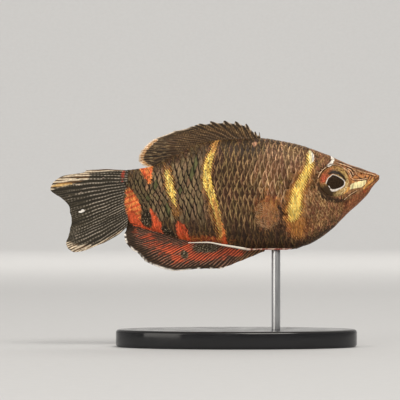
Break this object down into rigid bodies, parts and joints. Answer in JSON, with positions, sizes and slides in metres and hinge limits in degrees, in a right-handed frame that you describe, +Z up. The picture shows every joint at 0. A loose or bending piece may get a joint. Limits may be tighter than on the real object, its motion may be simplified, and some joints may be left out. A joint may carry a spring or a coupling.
{
  "type": "chocolate gourami",
  "caption": "Still life-size chocolate gourami, a laterally flattened brown fish with pale and red bars, held by a rod on a flat oval display stand.",
  "frame": {"origin": "on the surface that the stand rests on, below the middle of the fish's length and in the fish's middle plane", "axes": "+X from the tail to the snout, +Z up, the fish's right side faces -Y"},
  "size_m": [0.0603, 0.024, 0.0413],
  "materials": {
    "skin": "scaly fish skin, satin, brown with yellow, white and red bars",
    "eye": "wet, glossy eye with a black pupil and a brown and gold iris",
    "fin": "thin ribbed fin membrane, satin, dark brown to red with pale edges",
    "stand_base": "black cast acrylic with polished edges",
    "stand_rod": "drawn stainless steel rod, fine lengthwise brushing"
  },
  "bodies": {
    "root": {"head": "skin", "lower_jaw": "skin", "gill_cover_right": "skin", "gill_cover_left": "skin", "torso": "skin", "tail_stalk": "skin", "eye_right": "eye", "eye_left": "eye", "dorsal_fin": "fin", "anal_fin": "fin", "tail_fin": "fin", "pectoral_fin_right": "fin", "pectoral_fin_left": "fin", "pelvic_fin_right": "fin", "pelvic_fin_left": "fin", "stand_base": "stand_base", "stand_rod": "stand_rod"}
  },
  "joints": []
}
